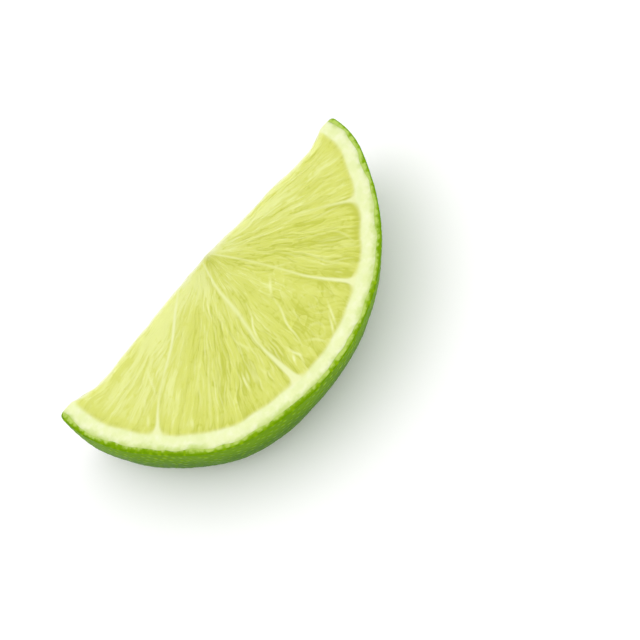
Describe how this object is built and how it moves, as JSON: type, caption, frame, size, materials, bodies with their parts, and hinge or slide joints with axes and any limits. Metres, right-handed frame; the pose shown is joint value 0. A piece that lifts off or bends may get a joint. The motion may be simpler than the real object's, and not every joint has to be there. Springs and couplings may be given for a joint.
{
  "type": "lime half slice",
  "caption": "Thick half slice of lime with green rind, pale pith and juicy yellow-green segments, lying on its back cut face.",
  "frame": {"origin": "on the plane of the back cut face, under the middle of the piece's box", "axes": "+Z out of the shown cut face, +X along the straight edge, -Y towards the curved rind"},
  "size_m": [0.0508, 0.0244, 0.0121],
  "materials": {
    "lime_flesh": "wet, translucent yellow-green juice sacs with pale membranes",
    "lime_pith": "soft, moist, pale yellow-white pith",
    "lime_rind": "waxy green rind, pebbled with lighter oil glands"
  },
  "bodies": {
    "root": {"half_slice": "lime_flesh"}
  },
  "joints": []
}
